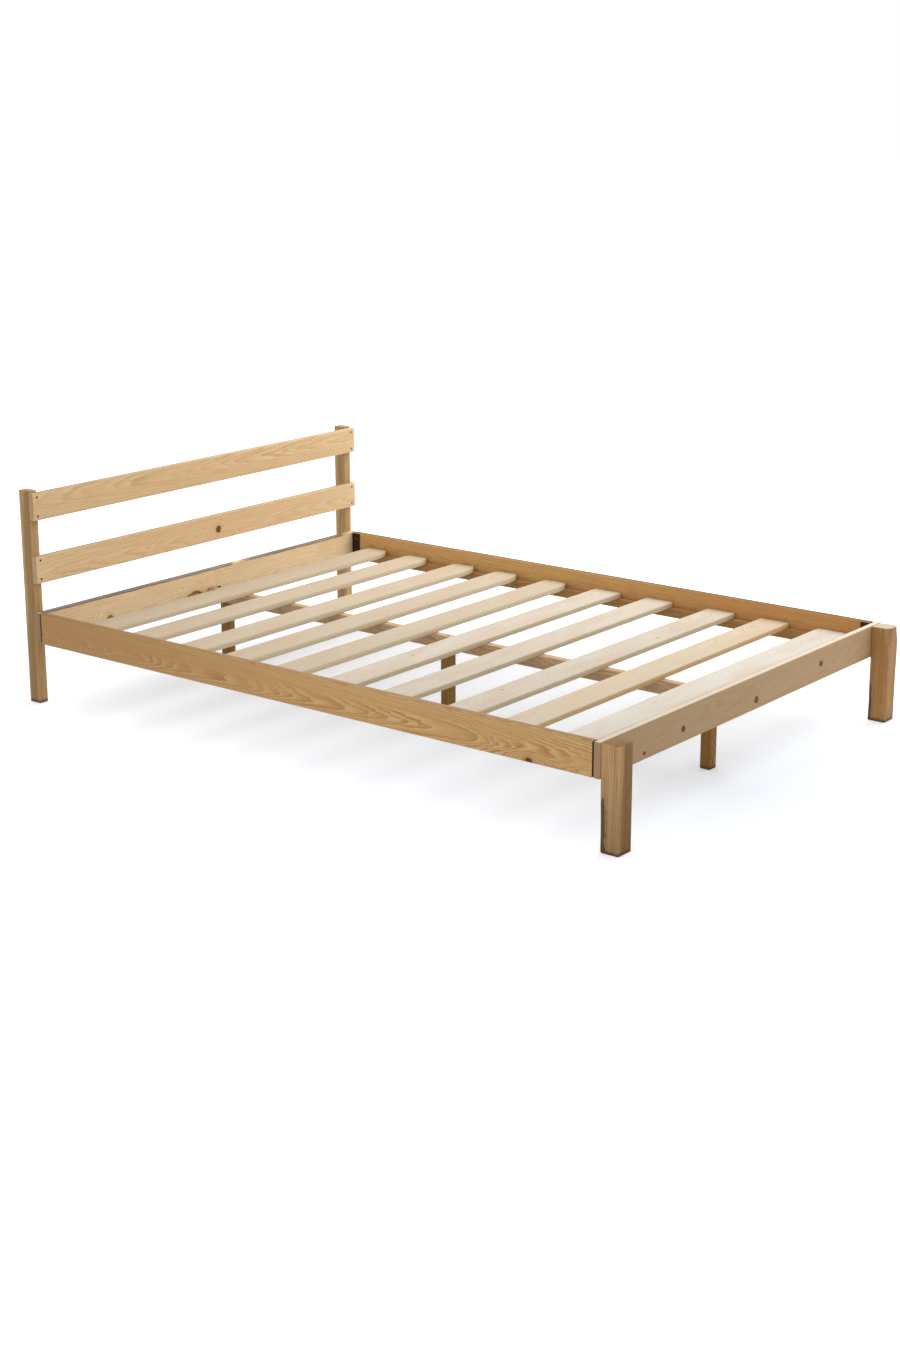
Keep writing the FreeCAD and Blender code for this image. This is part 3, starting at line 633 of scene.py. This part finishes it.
# Centre beam and its three legs
centreBeam = {**uprights, "axes": "YZX", "early": "#d6b187", "late": "#a8835a", "tint": "#be9970",
              "pithMm": (200, 60), "floorEndMm": 0, "seed": 5.2}
centreLegs = {**uprights, "early": "#9e7538", "late": "#6d4b1f", "tint": "#815b27", "pithMm": (30, 40)}
board("centre_beam", centreBeam)
for end, seed in (("foot", 6.2), ("middle", 7.2), ("head", 8.2)):
    board(f"centre_leg_{end}", {**centreLegs, "seed": seed})

# Bed slats: pale planed boards, each from a different plank
# their front and back faces take a tan that is partly their own tone and partly painted shade
slatBoards = {"axes": "XYZ", "cornerMm": 2.0, "slope": 0.05, "fibreShare": 0.05, "fleckShare": 0.1,
              "endGrain": "#c9a877", "roughness": 0.62, "edge": "#c8b691", "edgeToneLightShadeShare": 0.8, "tintShare": 0.8,
              "toneMm": 36, "knotHeart": "#b3936d", "knotRim": "#8f6e4a", "blushShare": 0.3}
slatTones = {"warm": {"early": "#cbbca3", "late": "#bfab8f", "tint": "#c8b59a", "edge": "#d8c7a4"},
             "pale": {"early": "#d4cab8", "late": "#c9b79f", "tint": "#d0c2af"},
             "yellow": {"early": "#d8c8b0", "late": "#cab592", "tint": "#d2bea2", "blush": "#d4b78c",
                        "edge": "#d4af71"},
             "white": {"early": "#e0dacd", "late": "#d4c8b4", "tint": "#dcd4c5", "blushShare": 0.25}}
slatOrder = ["warm"] * 5 + ["pale"] * 3 + ["yellow", "white"]   # from the head
slatKnots = {4: ((0.025, 0.284, 3.5, 1.2),), 6: ((-0.280, -0.066, 4.0, 1.2),),
             8: ((-0.396, -0.471, 4.0, 1.2), (0.31, -0.513, 2.5, 4.0)),
             9: ((0.588, -0.665, 3.5, 1.2), (-0.517, -0.668, 3.0, 1.2))}
slatPlank = {"seedStep": 1.9, "pithMm": (20, 160)}   # pith from the slat's middle line, and its height
slatTaper = {"count": 5, "cornerMm": 28, "easeMm": 3, "lengthMm": 96, "slackMm": 0.1}


# the first slats' round corners on the foot side are drawn out along the slat, on both levels of its
# eased edge
def drawOutCorners(piece):
    slack = slatTaper["slackMm"] * mm
    xs = [point.co.x for point in piece.data.vertices]
    top = max(point.co.z for point in piece.data.vertices)
    front = min(point.co.y for point in piece.data.vertices) + slatTaper["cornerMm"] * mm
    for end, side in ((min(xs), -1), (max(xs), 1)):
        arcStart = end - side * slatTaper["cornerMm"] * mm
        for easeMm in (0, slatTaper["easeMm"]):

            def onCorner(place):
                inArc = (place.x - arcStart) * side > -slack and place.y < front + slack
                return inArc and (place.z > top - slack) == bool(easeMm)

            drawnOut = (slatTaper["lengthMm"] - easeMm) / (slatTaper["cornerMm"] - easeMm)
            selectPoints(piece, onCorner)
            bpy.ops.transform.resize(value=(drawnOut, 1.0, 1.0),
                                     center_override=(end - side * easeMm * mm, 0.0, 0.0))
            bpy.ops.object.mode_set(mode="OBJECT")


for number, toneName in enumerate(slatOrder, 1):
    nodeName = f"bed_slat_{number:02d}"
    low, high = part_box(nodeName)
    middleMm = (low.y + high.y) / 2 / mm
    slat = {**slatBoards, **slatTones[toneName], "knots": slatKnots.get(number, ()),
            "pithMm": (middleMm + slatPlank["pithMm"][0], slatPlank["pithMm"][1]),
            "seed": slatPlank["seedStep"] * number}
    board(nodeName, slat, drawOutCorners if number <= slatTaper["count"] else None)
print("boards shaped and finished")

# Steel fittings
steel = powderCoatMaterial("blackPowderCoat")
fittings = ("hook_bracket", "keeper_plate", "beam_angle")
for nodeName in nodes:
    if nodeName.startswith(fittings) and not nodeName.endswith("_screws"):
        roundedCopy(nodeName, steel, powderCoat["cornerMm"])
print("steel fittings finished")

# Screws: one countersunk screw with a cross recess is modelled, then copied to each CAD screw
screwShape = {"sides": 32, "headMm": 3.9, "rimMm": 0.5, "coneMm": 1.6, "shankMm": 1.9, "lengthMm": 16.0,
              "tipMm": 4.0, "tipShare": 0.12, "crossMm": (4.4, 0.95), "crossDepthMm": 1.1, "smoothAngle": 30,
              "stretchBelowMm": 3.0,   # the shank is drawn to each CAD screw's length from here down
              "headOverMm": 3.0,       # a CAD screw's points further out than this are its head's
              "turn": 0.9}             # radians from one screw to the next: driven home at any angle
screws = screwSteelMaterial("burnishedScrewSteel")
bpy.ops.object.select_all(action="DESELECT")
bpy.ops.mesh.primitive_cylinder_add(vertices=screwShape["sides"], radius=screwShape["headMm"] * mm,
                                    depth=screwShape["rimMm"] * mm,
                                    location=(0, 0, -screwShape["rimMm"] / 2 * mm))
masterScrew = bpy.context.object
masterScrew.data.materials.append(screws)
bpy.ops.object.transform_apply(location=True)
bpy.ops.object.mode_set(mode="EDIT")
bpy.ops.mesh.select_mode(type="FACE")


def selectBottom(piece):
    bpy.ops.mesh.select_all(action="DESELECT")
    bpy.ops.object.mode_set(mode="OBJECT")
    lowest = min(face.center.z for face in piece.data.polygons)
    for face in piece.data.polygons:
        face.select = face.center.z < lowest + rounding["mergeMm"] * mm
    bpy.ops.object.mode_set(mode="EDIT")


# step down and share of the width kept, from the head's rim: cone, shank, point
neck = screwShape["shankMm"] / screwShape["headMm"]
shankMm = screwShape["lengthMm"] - screwShape["rimMm"] - screwShape["coneMm"] - screwShape["tipMm"]
for downMm, width in ((screwShape["coneMm"], neck), (shankMm, 1.0),
                      (screwShape["tipMm"], screwShape["tipShare"])):
    selectBottom(masterScrew)
    bpy.ops.mesh.extrude_region_move(TRANSFORM_OT_translate={"value": (0, 0, -downMm * mm)})
    bpy.ops.transform.resize(value=(width, width, 1.0))
bpy.ops.object.mode_set(mode="OBJECT")
for turn in (0, 90):
    bpy.ops.object.select_all(action="DESELECT")
    bpy.ops.mesh.primitive_cube_add(size=1.0, rotation=(0, 0, math.radians(turn)))
    cutter = bpy.context.object
    cutter.scale = (screwShape["crossMm"][0] * mm, screwShape["crossMm"][1] * mm,
                    2 * screwShape["crossDepthMm"] * mm)
    bpy.ops.object.transform_apply(scale=True, rotation=True)
    bpy.context.view_layer.objects.active = masterScrew
    cut = masterScrew.modifiers.new("cross", "BOOLEAN")
    cut.object = cutter
    cut.operation = "DIFFERENCE"
    cut.solver = "EXACT"
    bpy.ops.object.modifier_apply(modifier=cut.name)
    bpy.data.objects.remove(cutter)
makeActive(masterScrew)
bpy.ops.object.shade_smooth_by_angle(angle=math.radians(screwShape["smoothAngle"]))


# the head's middle, the direction of the point and the length of each screw of a CAD group
def screwPlaces(nodeName):
    group = bpy.data.objects.new("screwSurvey", nodes[nodeName].data.copy())
    bpy.context.collection.objects.link(group)
    makeActive(group)
    bpy.ops.object.mode_set(mode="EDIT")
    bpy.ops.mesh.select_all(action="SELECT")
    bpy.ops.mesh.remove_doubles(threshold=rounding["mergeMm"] * mm)
    bpy.ops.mesh.separate(type="LOOSE")
    bpy.ops.object.mode_set(mode="OBJECT")
    places = []
    for single in list(bpy.context.selected_objects):
        points = [point.co.copy() for point in single.data.vertices]
        low = Vector([min(point[axis] for point in points) for axis in range(3)])
        high = Vector([max(point[axis] for point in points) for axis in range(3)])
        axis = max(range(3), key=lambda number: high[number] - low[number])
        middle = (low + high) / 2
        outward = [side for side in range(3) if side != axis]
        rim = [point for point in points
               if max(abs(point[side] - middle[side]) for side in outward) > screwShape["headOverMm"] * mm]
        headAt = sum(point[axis] for point in rim) / len(rim)
        direction = Vector([0.0, 0.0, 0.0])
        direction[axis] = 1.0 if headAt < middle[axis] else -1.0
        head = middle.copy()
        head[axis] = low[axis] if direction[axis] > 0 else high[axis]
        places.append((head, direction, high[axis] - low[axis]))
        bpy.data.objects.remove(single)
    return sorted(places, key=lambda place: tuple(place[0]))


screwCount = 0
for nodeName in sorted(name for name in nodes if name.endswith("_screws")):
    copies = []
    for head, direction, length in screwPlaces(nodeName):
        single = bpy.data.objects.new(nodeName + "_cross", masterScrew.data.copy())
        bpy.context.collection.objects.link(single)
        makeActive(single)
        selectPoints(single, lambda place: place.z < -screwShape["stretchBelowMm"] * mm)
        bpy.ops.transform.translate(value=(0, 0, screwShape["lengthMm"] * mm - length))
        bpy.ops.object.mode_set(mode="OBJECT")
        single.rotation_euler = direction.to_track_quat("-Z", "Y").to_euler()
        single.rotation_euler.rotate_axis("Z", screwShape["turn"] * screwCount)
        single.location = head
        copies.append(single)
        screwCount += 1
    bpy.ops.object.select_all(action="DESELECT")
    for single in copies:
        single.select_set(True)
    bpy.context.view_layer.objects.active = copies[0]
    bpy.ops.object.join()
    group = bpy.context.object
    bpy.ops.object.transform_apply(location=True, rotation=True, scale=True)
    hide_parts(nodeName)
    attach(group, "root")
bpy.data.objects.remove(masterScrew)
print(screwCount, "screws driven")

# Studio: a matt pale floor that keeps the shadow, a white surround and two soft lamps. The eye sees the
# floor lifted a little round the bed, and turning white with the distance past the shaded half size.
studio = {"floorSize": 60.0, "floorColour": "#e6ecf5", "floorRoughness": 0.9, "floorLift": 0.27,
          "shaded": (0.0, 1.0, 0.0), "whiteAfter": 2.2, "skyStrength": 0.72}
lamps = {"softbox": {"place": (1.5, 1.6, 2.5), "aim": (0.0, 0.0, 0.2), "size": 2.0, "power": 32.0},
         "overhead": {"place": (1.9, -0.6, 2.2), "aim": (0.0, 0.3, 0.2), "size": 2.2, "power": 30.0}}


# 1 for the rays that show a surface to the eye, straight, mirrored or through glass, and 0 for its light
def seenRays(tree):
    rays = addNode(tree, "ShaderNodeLightPath")
    seen = rays.outputs["Is Camera Ray"]
    for kind in ("Is Glossy Ray", "Is Transmission Ray"):
        seen = addNode(tree, "ShaderNodeMath", {0: seen, 1: rays.outputs[kind]},
                       operation="MAXIMUM").outputs[0]
    return seen


bpy.ops.object.select_all(action="DESELECT")
bpy.ops.mesh.primitive_plane_add(size=studio["floorSize"])
floor = bpy.context.object
floor.name = "floor"
floorMaterial, floorTree, floorShader = newMaterial("whiteFloor")
floorShader.inputs["Base Color"].default_value = linearColour(studio["floorColour"])
floorShader.inputs["Roughness"].default_value = studio["floorRoughness"]
floorShader.inputs["Specular IOR Level"].default_value = 0.0
floorSeen = seenRays(floorTree)
floorPlace = addNode(floorTree, "ShaderNodeTexCoord").outputs["Object"]
outside = addNode(floorTree, "ShaderNodeVectorMath", {0: floorPlace}, operation="ABSOLUTE").outputs[0]
outside = addNode(floorTree, "ShaderNodeVectorMath", {0: outside, 1: studio["shaded"]},
                  operation="SUBTRACT").outputs[0]
outside = addNode(floorTree, "ShaderNodeVectorMath", {0: outside, 1: (0.0, 0.0, 0.0)},
                  operation="MAXIMUM").outputs[0]
fromBed = addNode(floorTree, "ShaderNodeVectorMath", {0: outside}, operation="LENGTH").outputs["Value"]
whiter = addNode(floorTree, "ShaderNodeMapRange", {
    "Value": fromBed, "From Min": 0.0, "From Max": studio["whiteAfter"], "To Min": studio["floorLift"],
    "To Max": 1.0}, interpolation_type="SMOOTHSTEP").outputs["Result"]
lift = addNode(floorTree, "ShaderNodeMath", {0: floorSeen, 1: whiter}, operation="MULTIPLY").outputs[0]
floorShader.inputs["Emission Color"].default_value = (1.0, 1.0, 1.0, 1.0)
floorTree.links.new(lift, floorShader.inputs["Emission Strength"])
floor.data.materials.append(floorMaterial)

world = bpy.data.worlds.new("studio")
world.use_nodes = True
bpy.context.scene.world = world
worldTree = world.node_tree
background = worldTree.nodes["Background"]
background.inputs["Color"].default_value = (1.0, 1.0, 1.0, 1.0)
strength = addNode(worldTree, "ShaderNodeMapRange", {
    "Value": seenRays(worldTree), "To Min": studio["skyStrength"], "To Max": 1.0}).outputs["Result"]
worldTree.links.new(strength, background.inputs["Strength"])

for lampName, setting in lamps.items():
    bpy.ops.object.light_add(type="AREA", location=setting["place"])
    lamp = bpy.context.object
    lamp.name = lampName
    lamp.data.shape = "DISK"
    lamp.data.size = setting["size"]
    lamp.data.energy = setting["power"]
    lampLine = Vector(setting["aim"]) - Vector(setting["place"])
    lamp.rotation_euler = lampLine.to_track_quat("-Z", "Y").to_euler()

# Camera at the photograph's standpoint, its angles in degrees
viewpoint = {"place": (-4.877, -3.8335, 1.914), "pitch": 16.23, "roll": 0.11, "heading": 38.29, "lens": 57.70}
bpy.ops.object.camera_add(location=viewpoint["place"])
camera = bpy.context.object
camera.rotation_euler = (math.radians(90 - viewpoint["pitch"]), math.radians(viewpoint["roll"]),
                         math.radians(viewpoint["heading"] - 90))
camera.data.lens = viewpoint["lens"]
bpy.context.scene.camera = camera
bpy.context.scene.view_settings.view_transform = "Standard"
print("studio set")
